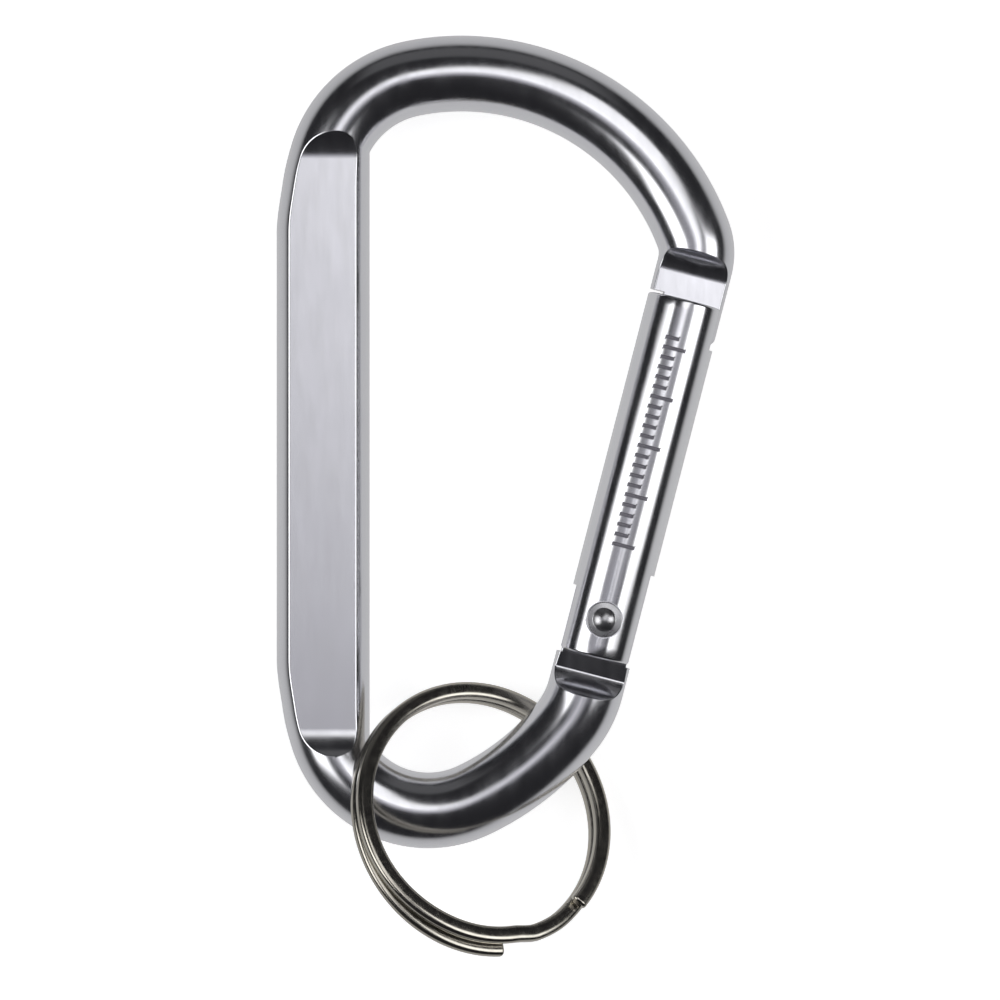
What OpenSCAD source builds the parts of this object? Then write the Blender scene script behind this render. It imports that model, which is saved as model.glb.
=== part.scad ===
// Carabiner keyring: a bent rod frame with a pressed flat spine, a spring-loaded gate on a rivet, and a
// split key ring threaded on the frame's lower bend.
// It lies flat, seen from above: +Y runs up the spine, +X points to the gate, +Z points at the viewer.
// The outline is drawn with the spine's centreline on x = 0, then moved so that the origin is the middle
// of the whole part's footprint, at the height of its lowest point.

/* [Rod and outline] */
// Diameter of the rod that the frame is bent from
rod_d = 7.5; // [7:0.1:7.8]
// Height on the spine where the crown's corner bend starts
spine_top = 25.4; // [24:0.1:27]
// Height on the spine where the foot's corner bend starts
spine_foot = -25.9; // [-28:0.1:-25]
// Centreline radius of the crown's corner bend
crown_corner_r = 10.9; // [10:0.1:12]
// Centreline radius of the crown
crown_r = 24.5; // [24:0.1:25]
// Angle at which the corner bend runs into the crown
crown_corner_end = 101.7; // [100:0.1:103]
// Centreline radius of the foot's corner bend
foot_corner_r = 10.4; // [10:0.1:11]
// Centreline radius of the foot
foot_r = 26; // [25.5:0.1:26.5]
// Angle at which the foot's corner bend runs into the foot
foot_corner_end = 295.3; // [294:0.1:297]
// Centreline radius of the bend below the hinge
hinge_bend_r = 10; // [9:0.1:11]
// Centreline radius of the bend above the nose
nose_bend_r = 5; // [4.5:0.1:6]

/* [Pressed spine] */
// Thickness of the spine between its two pressed flats
press_t = 5.7; // [5.2:0.1:6.2]
// How far pressing has pushed each side of the spine out
press_spread = 0.85; // [0.6:0.05:1]
// Height of the upper end of the flats
flat_top = 28; // [26:0.1:29]
// Height of the lower end of the flats
flat_foot = -28.1; // [-29:0.1:-26]
// Radius of the hollow in which each flat runs out into the round rod
flat_run_r = 4.5; // [3.5:0.1:5.5]

/* [Gate] */
// Lean of the gate from the spine's direction, in degrees
gate_lean = 14.5; // [14:0.1:15]
// Distance of the hinge from the spine's centreline
pivot_x = 27.74; // [27.5:0.01:28]
// Height of the hinge
pivot_y = -17.36; // [-17.6:0.01:-17.1]
// Diameter of the gate
gate_d = 7.6; // [7.5:0.05:7.8]
// Gate length above the hinge
gate_up = 32.5; // [32:0.1:33]
// Gate length below the hinge
gate_down = 3.8; // [3.6:0.1:4]
// Bevel on both ends of the gate
gate_bevel = 0.3; // [0.1:0.05:0.5]
// Number of engraved scale marks on the gate's front
mark_count = 22; // [5:1:22]

/* [Tongues and slots] */
// Thickness of the frame's two flattened ends
tongue_t = 3.1; // [2.8:0.1:3.2]
// Gap between a tongue's face and its slot's face
slot_gap = 0.1; // [0.05:0.01:0.15]
// Radius of the hollow in which each tongue runs out into the round rod
tongue_run_r = 2.5; // [2.3:0.1:2.8]
// Thickness of the wall that closes both slots on the frame's inner side
slot_wall = 1.1; // [0.9:0.1:1.2]

/* [Hinge] */
// Diameter of the hinge rivet's shank
rivet_d = 2; // [1.8:0.1:2.2]
// Radial running clearance of the rivet in the frame's hinge tongue
rivet_gap = 0.05; // [0.02:0.01:0.08]
// Diameter of the rivet's heads
rivet_head_d = 3.5; // [3.2:0.1:3.6]
// Diameter of the blind bore that holds the gate's spring
bore_d = 4; // [3.8:0.1:4.2]

/* [Split ring] */
// Outside diameter of the split ring
ring_d = 27.3; // [26.8:0.1:27.6]
// Radial width of the ring's wire
wire_w = 1.7; // [1.5:0.05:1.8]
// Thickness of the ring's wire along the ring's axis
wire_t = 1.2; // [1:0.05:1.25]
// Tilt of the ring where it lies against the frame, in degrees
ring_tilt = 32; // [31.5:0.5:36]

/* [Hidden] */
$fn = 64;
cut = 1;
rod_r = rod_d / 2;
reach = 2 * rod_r;

// Every second length of the rod is thinner by seam and laps into its neighbours by lap. The pressed
// spine's inner line is thinner by side_seam, and its outer line's tapers by taper_seam.
seam = 0.02;
lap = 0.1;
side_seam = 0.04;
taper_seam = 0.03;

// The gate's own directions: up along it, and out of the frame square to it.
pivot = [pivot_x, pivot_y];
gate_along = [sin(gate_lean), cos(gate_lean)];
gate_out = [cos(gate_lean), -sin(gate_lean)];
gate_r = gate_d / 2;

function polar(r, a) = r * [cos(a), sin(a)];
function angle_of(v) = atan2(v[1], v[0]);
function clamp01(t) = min(1, max(0, t));
function ease(t) = let (u = clamp01(t)) u * u * (3 - 2 * u);

// Centres of the four large arcs.
crown_corner_c = [crown_corner_r, spine_top];
crown_c = crown_corner_c + polar(crown_corner_r - crown_r, crown_corner_end);
foot_corner_c = [foot_corner_r, spine_foot];
foot_c = foot_corner_c + polar(foot_corner_r - foot_r, foot_corner_end);

// Height on the gate's line, from the hinge, where a bend of radius r leaves it. The bend also runs into
// the arc of radius big about c. side is 1 above the hinge and -1 below it.
function bend_start(c, big, r, side) =
    let (d = pivot - r * gate_out - c, along = d * gate_along)
    side * sqrt(along * along - d * d + (big - r) * (big - r)) - along;
function bend_centre(s, r) = pivot + s * gate_along - r * gate_out;

nose_s = bend_start(crown_c, crown_r, nose_bend_r, 1);
nose_c = bend_centre(nose_s, nose_bend_r);
crown_end = angle_of(nose_c - crown_c);
hinge_s = bend_start(foot_c, foot_r, hinge_bend_r, -1);
hinge_c = bend_centre(hinge_s, hinge_bend_r);
foot_end = 360 + angle_of(hinge_c - foot_c);

// The pressed spine is the rod's own line and a parallel line on each side of it. The inner line runs
// straight into both corner bends; the outer line ends in a taper that leans into each of them.
inner_run = 4.1;
taper_back = 4.6;
taper_length = 7.4;
taper_drift = 1.15;
taper_end_r = rod_r - 0.35;

// Tongues: heights along the gate's line where their flats end, and the nose tongue's tip.
nose_flat_end = gate_up + 2.4;
nose_tip = gate_up - 3.75;
nose_slot_floor = nose_tip - 0.45;
nose_stop_gap = 0.3;
hinge_flat_end = -gate_down - 1.8;
hinge_shoulder = -gate_down - 0.3;
slot_t = tongue_t + 2 * slot_gap;
wall_x = slot_wall - gate_r;

// Hinge tongue's end: an eccentric lobe that lifts the plunger as the gate opens.
lobe_off = 0.9;
lobe_r = 2.4;
tongue_half = lobe_off + lobe_r;
middle_r = lobe_r - 0.1;
heel_drop = 1;
hinge_slot_out = 5.3;
hinge_slot_in = 2.6;

// Rivet.
rivet_r = rivet_d / 2;
seat_z = gate_r - 0.45;
head_rise = 0.6;
head_r = rivet_head_d / 2;
seat_r = head_r + 0.1;
head_round_r = (head_r * head_r + head_rise * head_rise) / (2 * head_rise);

// Spring and plunger in the gate's bore.
bore_r = bore_d / 2;
bore_top = 24;
plunger_gap = 0.06;
plunger_low = lobe_r + plunger_gap;
plunger_shoulder = plunger_low + 2.6;
plunger_top = plunger_shoulder + 4;
plunger_r = bore_r - 0.06;
stem_r = 0.95;
coil_wire_r = 0.22;
coil_r = 1.45;
coil_end_gap = 0.02;
coil_low = plunger_shoulder + coil_wire_r + coil_end_gap;
coil_high = bore_top - coil_wire_r - coil_end_gap;
coil_turns = 15;
coil_closed = 1.5;
closed_pitch = 2 * coil_wire_r + 0.03;
coil_steps = 14;
coil_sides = 6;

// Engraved marks on the gate's front.
mark_from = 7.5;
mark_pitch = 1;
mark_long = 2.2;
mark_short = 1.3;
mark_w = 0.3;
mark_depth = 0.12;

// Split ring: its own plane is turned by ring_turn, then tilted by ring_tilt about the turned x axis.
ring_turn = 130;
ring_c = [15.68, -36.75, 1.4];
wire_mid_r = (ring_d - wire_w) / 2;
coil_space = wire_t + 0.06;
ring_a0 = -173;
cross_a0 = 161.5;
cross_a1 = 187;
ring_a1 = 506;
tuck = 0.35;
tuck_from = 60;
tuck_full = 120;
tuck_back = 150;
splay = 0.6;
splay_from = 390;
ring_steps = 140;
wire_round = 0.35;

// Footprint of the whole part, from which the origin is worked out.
ring_lines = ring_sections();
ring_points = [for (line = ring_lines) for (p = line) to_place(p)];
low = [
    -rod_r - press_spread,
    min([for (p = ring_points) p[1]]),
    min([for (p = ring_points) p[2]])
];
high = [nose_c[0] + nose_bend_r + rod_r, crown_c[1] + crown_r + rod_r];
origin = [(low[0] + high[0]) / 2, (low[1] + high[1]) / 2, low[2]];

module placed() {
    translate(-origin) children();
}

// Local x points out of the frame, square to the gate; local y runs up the gate from the hinge.
module at_gate() {
    translate([pivot[0], pivot[1], 0]) rotate([0, 0, -gate_lean]) children();
}

// Round bar bent about c in the drawing plane.
module bend(c, r, from, to, tube) {
    translate([c[0], c[1], 0]) rotate([0, 0, from])
        rotate_extrude(angle = to - from) translate([r, 0]) circle(r = tube);
}

// Straight round bar along y.
module bar(x, y0, y1, tube) {
    translate([x, y0, 0]) rotate([-90, 0, 0]) cylinder(h = y1 - y0, r = tube);
}

// Slot cutter above and below the drawing plane: it leaves thickness t between y0 and y1 and runs out
// in a hollow of radius run at each end named in ends.
module thinning_cut(t, y0, y1, run, ends) {
    for (m = [0, 1]) {
        mirror([0, 0, m]) rotate([90, 0, 90]) linear_extrude(height = 2 * reach, center = true) {
            translate([y0, t / 2]) square([y1 - y0, reach]);
            for (y = ends) translate([y, t / 2 + run]) circle(r = run);
        }
    }
}

// Taper at the upper end of the spine's outer line, which ends at height y. It starts just inside the
// line's own surface.
module spine_taper(y) {
    lean = atan(taper_drift / taper_length);
    start_r = rod_r - taper_seam;
    translate([start_r * cos(lean) - start_r - press_spread, y - lap - start_r * sin(lean), 0])
        rotate([-90, 0, -lean]) cylinder(h = taper_length, r1 = start_r, r2 = taper_end_r);
}

module spine() {
    outer_top = spine_top - taper_back;
    outer_foot = spine_foot + taper_back;
    bar(0, spine_foot, spine_top, rod_r);
    bar(press_spread, spine_foot - inner_run, spine_top + inner_run, rod_r - side_seam);
    bar(-press_spread, outer_foot, outer_top, rod_r);
    spine_taper(outer_top);
    mirror([0, 1, 0]) spine_taper(-outer_foot);
}

// Bend that laps into its two larger neighbours, so that they join as one solid.
module lapped_bend(c, r, from, to) {
    lap_a = lap / r * 180 / PI;
    bend(c, r, from - lap_a, to + lap_a, rod_r - seam);
}

module bends() {
    lapped_bend(crown_corner_c, crown_corner_r, crown_corner_end, 180);
    bend(crown_c, crown_r, crown_end, crown_corner_end, rod_r);
    lapped_bend(nose_c, nose_bend_r, -gate_lean, crown_end);
    lapped_bend(foot_corner_c, foot_corner_r, 180, foot_corner_end);
    bend(foot_c, foot_r, foot_corner_end, foot_end, rod_r);
    lapped_bend(hinge_c, hinge_bend_r, foot_end, 360 - gate_lean);
}

// Cuts that shape the nose tongue's inner side, which meets the slot's wall, and round its tip.
module nose_trim() {
    tip_round = 0.8;
    inner_x = wall_x + nose_stop_gap;
    translate([-reach, nose_tip - cut, -reach])
        cube([reach + inner_x, gate_up + nose_stop_gap - nose_tip + cut, 2 * reach]);
    for (x = [inner_x, rod_r]) {
        side = x < 0 ? 1 : -1;
        difference() {
            translate([x, nose_tip, 0])
                cube([2 * tip_round, 2 * tip_round, 2 * reach], center = true);
            translate([x + side * tip_round, nose_tip + tip_round, -reach])
                cylinder(h = 2 * reach, r = tip_round);
        }
    }
}

// End of the hinge tongue, round the rivet.
module hinge_lobe() {
    overlap = 0.5;
    linear_extrude(height = tongue_t, center = true) {
        translate([-tongue_half, hinge_shoulder - overlap])
            square([2 * tongue_half, overlap - hinge_shoulder - heel_drop]);
        translate([-tongue_half, -heel_drop - overlap]) square([tongue_half, heel_drop + overlap]);
        translate([-lobe_off, 0]) circle(r = lobe_r);
        translate([lobe_off, -heel_drop]) circle(r = lobe_r);
        circle(r = middle_r);
    }
}

module frame() {
    color("#c9cace") placed() difference() {
        union() {
            difference() {
                union() {
                    spine();
                    bends();
                    at_gate() bar(0, nose_tip, nose_s, rod_r);
                    at_gate() bar(0, hinge_s, hinge_shoulder, rod_r);
                }
                thinning_cut(press_t, flat_foot, flat_top, flat_run_r, [flat_foot, flat_top]);
                at_gate() thinning_cut(tongue_t, nose_tip - cut, nose_flat_end, tongue_run_r, [nose_flat_end]);
                at_gate()
                    thinning_cut(tongue_t, hinge_flat_end, hinge_shoulder + cut, tongue_run_r, [hinge_flat_end]);
                at_gate() nose_trim();
            }
            at_gate() hinge_lobe();
        }
        at_gate() cylinder(h = 2 * reach, r = rivet_r + rivet_gap, center = true);
    }
}

module gate_blank() {
    rotate([-90, 0, 0]) rotate_extrude() polygon([
        [0, -gate_down],
        [gate_r - gate_bevel, -gate_down],
        [gate_r, -gate_down + gate_bevel],
        [gate_r, gate_up - gate_bevel],
        [gate_r - gate_bevel, gate_up],
        [0, gate_up]
    ]);
}

// Slots for the two tongues; the wall on the inner side is left standing above the hinge.
module gate_slots() {
    translate([0, 0, -slot_t / 2]) linear_extrude(height = slot_t) {
        translate([wall_x, -reach]) square([2 * reach, reach + hinge_slot_out]);
        translate([-reach, -reach]) square([2 * reach, reach + hinge_slot_in]);
        translate([wall_x, nose_slot_floor]) square([2 * reach, reach]);
    }
}

// Short cuts across the gate's front, every fifth one longer.
module gate_marks() {
    intersection() {
        difference() {
            bar(0, 0, gate_up, gate_r + cut);
            bar(0, -cut, gate_up + cut, gate_r - mark_depth);
        }
        union() {
            for (i = [0 : mark_count - 1]) {
                length = i % 5 == 0 ? mark_long : mark_short;
                translate([(length - mark_long) / 2, mark_from + i * mark_pitch, gate_r])
                    cube([length, mark_w, gate_r], center = true);
            }
        }
    }
}

module gate() {
    color("#c4c5ca") placed() at_gate() difference() {
        gate_blank();
        gate_slots();
        bar(0, -gate_down - cut, bore_top, bore_r);
        cylinder(h = 2 * reach, r = rivet_r, center = true);
        for (m = [0, 1]) mirror([0, 0, m]) translate([0, 0, seat_z]) cylinder(h = reach, r = seat_r);
        gate_marks();
    }
}

// Domed head with a small dimple left by the rivet setter.
module rivet_head() {
    dimple_r = 0.9;
    dimple_depth = 0.12;
    difference() {
        intersection() {
            cylinder(h = head_rise, r = head_r);
            translate([0, 0, head_rise - head_round_r]) sphere(r = head_round_r);
        }
        translate([0, 0, head_rise - dimple_depth + dimple_r]) sphere(r = dimple_r);
    }
}

module hinge_rivet() {
    color("#d0d0d2") placed() at_gate() {
        cylinder(h = 2 * seat_z, r = rivet_r, center = true);
        for (m = [0, 1]) mirror([0, 0, m]) translate([0, 0, seat_z]) rivet_head();
    }
}

module spring_plunger() {
    foot_bevel = 0.4;
    color("#b0b2b6") placed() at_gate() rotate([-90, 0, 0]) rotate_extrude() polygon([
        [0, plunger_low],
        [plunger_r - foot_bevel, plunger_low],
        [plunger_r, plunger_low + foot_bevel],
        [plunger_r, plunger_shoulder],
        [stem_r, plunger_shoulder],
        [stem_r, plunger_top],
        [0, plunger_top]
    ]);
}

// Closed tube through sections, each a list of the same number of points in order round the tube.
module skin(sections) {
    n = len(sections[0]);
    last = len(sections) - 1;
    polyhedron(
        points = [for (s = sections) for (p = s) p],
        faces = concat(
            [[for (j = [0 : n - 1]) j]],
            [for (i = [0 : last - 1]) for (j = [0 : n - 1])
                let (k = (j + 1) % n) [i * n + j, (i + 1) * n + j, (i + 1) * n + k]],
            [for (i = [0 : last - 1]) for (j = [0 : n - 1])
                let (k = (j + 1) % n) [i * n + j, (i + 1) * n + k, i * n + k]],
            [[for (j = [n - 1 : -1 : 0]) last * n + j]]
        )
    );
}

// Height of the gate spring's wire after a number of turns: the end turns lie closed.
function coil_height(turn) =
    let (
        open = coil_turns - 2 * coil_closed,
        rise = coil_high - coil_low - 2 * coil_closed * closed_pitch,
        low_part = min(turn, coil_closed),
        mid_part = min(open, max(0, turn - coil_closed)),
        high_part = max(0, turn - coil_closed - open)
    )
    coil_low + (low_part + high_part) * closed_pitch + mid_part * rise / open;

module gate_spring() {
    sections = [for (i = [0 : coil_turns * coil_steps])
        let (turn = i / coil_steps, a = 360 * turn)
        [for (j = [0 : coil_sides - 1])
            let (b = 360 * j / coil_sides, r = coil_r + coil_wire_r * cos(b))
            [r * sin(a), coil_height(turn) + coil_wire_r * sin(b), r * cos(a)]]];
    color("#9a9c9f") placed() at_gate() skin(sections);
}

// Radius and level of the split ring's wire at angle a along its two turns. The upper turn crosses
// down to the lower one between cross_a0 and cross_a1. Near its ends the wire is tucked in and splayed out.
function wire_radius(a) =
    let (
        tucking = ease((a - tuck_from) / (tuck_full - tuck_from)),
        easing = 1 - ease((a - tuck_back) / (cross_a0 - tuck_back))
    )
    wire_mid_r - tuck * tucking * easing + splay * ease((a - splay_from) / (ring_a1 - splay_from));
function wire_level(a) = coil_space * (0.5 - ease((a - cross_a0) / (cross_a1 - cross_a0)));

// Rounded rectangular section of the ring's wire, drawn in [outwards, upwards].
function wire_outline() =
    let (x = wire_w / 2 - wire_round, y = wire_t / 2 - wire_round)
    [for (c = [[x, y, 0], [-x, y, 90], [-x, -y, 180], [x, -y, 270]]) for (a = [0, 45, 90])
        [c[0], c[1]] + polar(wire_round, c[2] + a)];

function ring_sections() = [for (i = [0 : ring_steps])
    let (a = ring_a0 + i * (ring_a1 - ring_a0) / ring_steps)
    [for (p = wire_outline())
        let (r = wire_radius(a) + p[0]) [r * cos(a), r * sin(a), wire_level(a) + p[1]]]];

// Ring coordinates to the drawing frame.
function to_place(p) =
    let (
        y = p[1] * cos(ring_tilt) - p[2] * sin(ring_tilt),
        z = p[1] * sin(ring_tilt) + p[2] * cos(ring_tilt)
    )
    ring_c + [p[0] * cos(ring_turn) - y * sin(ring_turn), p[0] * sin(ring_turn) + y * cos(ring_turn), z];

module split_ring() {
    color("#8f8c86") placed() skin([for (line = ring_lines) [for (p = line) to_place(p)]]);
}

frame();
gate();
hinge_rivet();
gate_spring();
spring_plunger();
split_ring();
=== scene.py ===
"""Looks of the carabiner keyring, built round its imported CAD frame.

Lengths are in millimetres in the drawing's own frame, where the spine's centreline is the line x = 0 and
the rod's middle plane is z = 0. to_row() moves them into the row frame, in metres.
"""

import math

import bmesh
import bpy
import numpy as np
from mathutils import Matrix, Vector


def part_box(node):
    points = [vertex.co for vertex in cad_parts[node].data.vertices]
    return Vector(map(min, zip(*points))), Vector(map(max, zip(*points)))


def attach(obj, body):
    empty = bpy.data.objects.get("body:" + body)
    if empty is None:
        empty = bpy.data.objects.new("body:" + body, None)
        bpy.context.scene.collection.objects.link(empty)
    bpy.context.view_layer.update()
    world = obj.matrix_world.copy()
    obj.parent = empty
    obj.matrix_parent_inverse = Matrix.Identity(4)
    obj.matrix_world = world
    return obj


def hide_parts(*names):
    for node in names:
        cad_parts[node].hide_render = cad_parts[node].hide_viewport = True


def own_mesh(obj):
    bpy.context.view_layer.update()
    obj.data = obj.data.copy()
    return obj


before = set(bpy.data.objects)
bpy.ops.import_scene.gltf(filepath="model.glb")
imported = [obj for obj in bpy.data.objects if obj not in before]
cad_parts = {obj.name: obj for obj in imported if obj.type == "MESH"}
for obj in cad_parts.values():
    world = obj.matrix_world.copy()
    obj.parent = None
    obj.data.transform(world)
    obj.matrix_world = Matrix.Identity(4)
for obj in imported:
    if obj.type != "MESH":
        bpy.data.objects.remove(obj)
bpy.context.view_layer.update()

MM = 0.001
TINY = 1e-6  # mm
SAME_POINT = 1e-9  # m

# ---------------------------------------------------------------- sizes that the CAD part is drawn with

ROD_R = 3.75
SPINE_TOP = 25.4
SPINE_FOOT = -25.9
CROWN_CORNER_R = 10.9
CROWN_R = 24.5
CROWN_CORNER_END = 101.7
FOOT_CORNER_R = 10.4
FOOT_R = 26.0
FOOT_CORNER_END = 295.3
HINGE_BEND_R = 10.0
NOSE_BEND_R = 5.0

PRESS_T = 5.7
PRESS_SPREAD = 0.85
FLAT_TOP = 28.0
FLAT_FOOT = -28.1
FLAT_RUN_R = 4.5
TAPER_BACK = 4.6
TAPER_AHEAD = 3.2

GATE_LEAN = math.radians(14.5)
PIVOT = np.array([27.74, -17.36])
GATE_R = 3.8
GATE_UP = 32.5
GATE_DOWN = 3.8
GATE_BEVEL = 0.3
GATE_ALONG = np.array([math.sin(GATE_LEAN), math.cos(GATE_LEAN)])
GATE_OUT = np.array([math.cos(GATE_LEAN), -math.sin(GATE_LEAN)])
GATE_UPWARD = np.append(GATE_ALONG, 0.0)

TONGUE_T = 3.1
TONGUE_RUN_R = 2.5
SLOT_T = 3.3
WALL_X = 1.1 - GATE_R
NOSE_FLAT_END = GATE_UP + 2.4
NOSE_TIP = GATE_UP - 3.75
NOSE_SLOT_FLOOR = NOSE_TIP - 0.45
NOSE_INNER_X = WALL_X + 0.3
NOSE_SHOULDER = GATE_UP + 0.3
NOSE_TIP_ROUND = 0.8
HINGE_FLAT_END = -GATE_DOWN - 1.8
HINGE_SHOULDER = -GATE_DOWN - 0.3
HINGE_SLOT_OUT = 5.3
HINGE_SLOT_IN = 2.6
LOBE_OFF = 0.9
LOBE_R = 2.4
LOBE_HALF = LOBE_OFF + LOBE_R
MIDDLE_R = LOBE_R - 0.1
HEEL_DROP = 1.0
# The hinge tongue sinks over a short run at a gentle slope, then enters a hollow at an angle.
DISH_RUN = 1.8
DISH_SLOPE = 0.16
DISH_HOLLOW_R = 3.2
DISH_ENTRY = 0.88

PIN_R = 1.0
# Each rivet head is a dome that a fillet joins to a thin flange with a rounded rim.
HEAD_R = 1.75
HEAD_RISE = 0.6
DOME_R = 1.7
DOME_EDGE = 1.15
DOME_FILLET = 0.2
FLANGE_T = 0.14
FLANGE_FALL = 0.1
RIM_R = 0.1
SEAT_Z = GATE_R - 0.45
SEAT_R = HEAD_R + 0.1
BORE_R = 2.0
BORE_TOP = 24.0
PLUNGER_SHOULDER = 5.06
COIL_WIRE_R = 0.22
COIL_END_GAP = 0.02
CLOSED_PITCH = 2 * COIL_WIRE_R + 0.03
COIL_R = 1.45
COIL_TURNS = 15
COIL_CLOSED = 1.5
COIL_STEPS = 28
COIL_SIDES = 10

MARK_COUNT = 22
MARK_FROM = 7.5
MARK_LONG = 2.2
MARK_SHORT = 1.3
MARK_W = 0.3
MARK_DEPTH = 0.12
MARK_WALL = 0.04
LONG_EVERY = 5
MARKED_TURN = 38  # Degrees either side of the gate's front that its points are close together.

RING_D = 27.3
WIRE_W = 1.7
WIRE_T = 1.2
WIRE_POWER = 2.8  # 2 makes the wire's section an ellipse, and more squares it up.
WIRE_END_R = 0.3
WIRE_COLS = 44
WIRE_ROWS = 901
RING_TILT = math.radians(32)
RING_TURN = math.radians(130)
RING_C = np.array([15.68, -36.75, 1.4])
RING_A0 = -173.0
CROSS_A0 = 161.5
CROSS_A1 = 187.0
RING_A1 = 506.0
TUCK = 0.35  # How far the wire is tucked in before the crossover, from TUCK_FROM to TUCK_BACK.
TUCK_FROM, TUCK_FULL, TUCK_BACK = 60, 120, 150
SPLAY = 0.6  # How far the last stretch from SPLAY_FROM stands out.
SPLAY_FROM = 390
TURN_GAP = 0.06


def polar(r, degrees):
    return r * np.array([math.cos(math.radians(degrees)), math.sin(math.radians(degrees))])


def angle_of(v):
    return math.degrees(math.atan2(v[1], v[0]))


def ease(t):
    u = min(1.0, max(0.0, t))
    return u * u * (3 - 2 * u)


def bend_start(c, big, r, side):
    """Height on the gate's line where a bend of radius r leaves it to run into the arc of radius big."""
    d = PIVOT - r * GATE_OUT - c
    along = d @ GATE_ALONG
    return side * math.sqrt(along * along - d @ d + (big - r) ** 2) - along


CROWN_CORNER_C = np.array([CROWN_CORNER_R, SPINE_TOP])
CROWN_C = CROWN_CORNER_C + polar(CROWN_CORNER_R - CROWN_R, CROWN_CORNER_END)
FOOT_CORNER_C = np.array([FOOT_CORNER_R, SPINE_FOOT])
FOOT_C = FOOT_CORNER_C + polar(FOOT_CORNER_R - FOOT_R, FOOT_CORNER_END)
NOSE_S = bend_start(CROWN_C, CROWN_R, NOSE_BEND_R, 1)
NOSE_C = PIVOT + NOSE_S * GATE_ALONG - NOSE_BEND_R * GATE_OUT
CROWN_END = angle_of(NOSE_C - CROWN_C)
HINGE_S = bend_start(FOOT_C, FOOT_R, HINGE_BEND_R, -1)
HINGE_C = PIVOT + HINGE_S * GATE_ALONG - HINGE_BEND_R * GATE_OUT
FOOT_END = 360 + angle_of(HINGE_C - FOOT_C)

# The drawing's origin in the row frame, read off the CAD frame: the spine's outer edge is its lowest X,
# the crown's top its highest Y, and the rod's middle plane half way up it.
frame_low, frame_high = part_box("frame")
ORIGIN = np.array(
    [
        frame_low.x / MM + ROD_R + PRESS_SPREAD,
        frame_high.y / MM - CROWN_C[1] - CROWN_R - ROD_R,
        (frame_low.z + frame_high.z) / 2 / MM,
    ]
)


def to_row(points):
    return (np.asarray(points, float) + ORIGIN) * MM


def gate_point(x, s, z=0.0):
    """A point given out from the gate's axis, up along it from the hinge, and above the middle plane."""
    p = PIVOT + x * GATE_OUT + s * GATE_ALONG
    return np.array([p[0], p[1], z])


# ---------------------------------------------------------------- meshes


class Skin:
    """Collects strips of points with their own normals, and makes one smooth mesh of them."""

    def __init__(self):
        self.points, self.normals, self.faces = [], [], []
        self.count = 0

    def strip(self, points, normals):
        """points and normals are rows x columns x 3; each row is joined to the next."""
        rows, cols = points.shape[:2]
        base = self.count
        self.points.append(points.reshape(-1, 3))
        self.normals.append(normals.reshape(-1, 3))
        self.count += rows * cols
        for i in range(rows - 1):
            for j in range(cols):
                k = (j + 1) % cols
                quad = [i * cols + j, i * cols + k, (i + 1) * cols + k, (i + 1) * cols + j]
                self.faces.append([base + q for q in quad])

    def cap(self, ring, normal):
        n = len(ring)
        self.points.append(np.asarray(ring))
        self.normals.append(np.tile(normal, (n, 1)))
        self.faces.append(list(range(self.count, self.count + n)))
        self.count += n

    def build(self, name):
        points = to_row(np.vstack(self.points))
        normals = np.vstack(self.normals)
        normals /= np.maximum(np.linalg.norm(normals, axis=1, keepdims=True), 1e-12)
        faces = []
        for f in self.faces:
            kept = []
            for v in f:
                if not kept or np.linalg.norm(points[v] - points[kept[-1]]) > SAME_POINT:
                    kept.append(v)
            if len(kept) > 1 and np.linalg.norm(points[kept[0]] - points[kept[-1]]) < SAME_POINT:
                kept.pop()
            if len(kept) > 2:
                a, b, c = points[kept[0]], points[kept[len(kept) // 3]], points[kept[2 * len(kept) // 3]]
                outward = np.cross(b - a, c - a) @ normals[kept].sum(0)
                faces.append(kept if outward > 0 else kept[::-1])
        mesh = bpy.data.meshes.new(name)
        mesh.from_pydata(points.tolist(), [], faces)
        mesh.validate()
        mesh.update()
        mesh.polygons.foreach_set("use_smooth", [True] * len(mesh.polygons))
        mesh.normals_split_custom_set_from_vertices(normals.tolist())
        obj = bpy.data.objects.new(name, mesh)
        bpy.context.scene.collection.objects.link(obj)
        return obj


# ---------------------------------------------------------------- frame rod

HOLLOW_END = 0.999  # Share of a hollow's radius that a cut follows, just short of where it stands upright.


def run_out(half, run, d):
    """Height and slope of a flat at height half that runs out in a hollow of radius run, d past its end."""
    inside = np.clip(d, 0, run * HOLLOW_END)
    root = np.sqrt(run * run - inside * inside)
    height = np.where(d < run, half + run - root, half + 2 * run)
    slope = np.where((d > 0) & (d < run), inside / root, 0.0)
    return height, slope


def spine_cut(p):
    up = p[:, 1] > 0
    d = np.where(up, p[:, 1] - FLAT_TOP, FLAT_FOOT - p[:, 1])
    height, slope = run_out(PRESS_T / 2, FLAT_RUN_R, d)
    way = np.stack([np.zeros(len(p)), np.where(up, 1.0, -1.0)], 1)
    return height, -slope[:, None] * way


def nose_cut(p):
    height, slope = run_out(TONGUE_T / 2, TONGUE_RUN_R, (p - PIVOT) @ GATE_ALONG - NOSE_FLAT_END)
    return height, -slope[:, None] * GATE_ALONG


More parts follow.
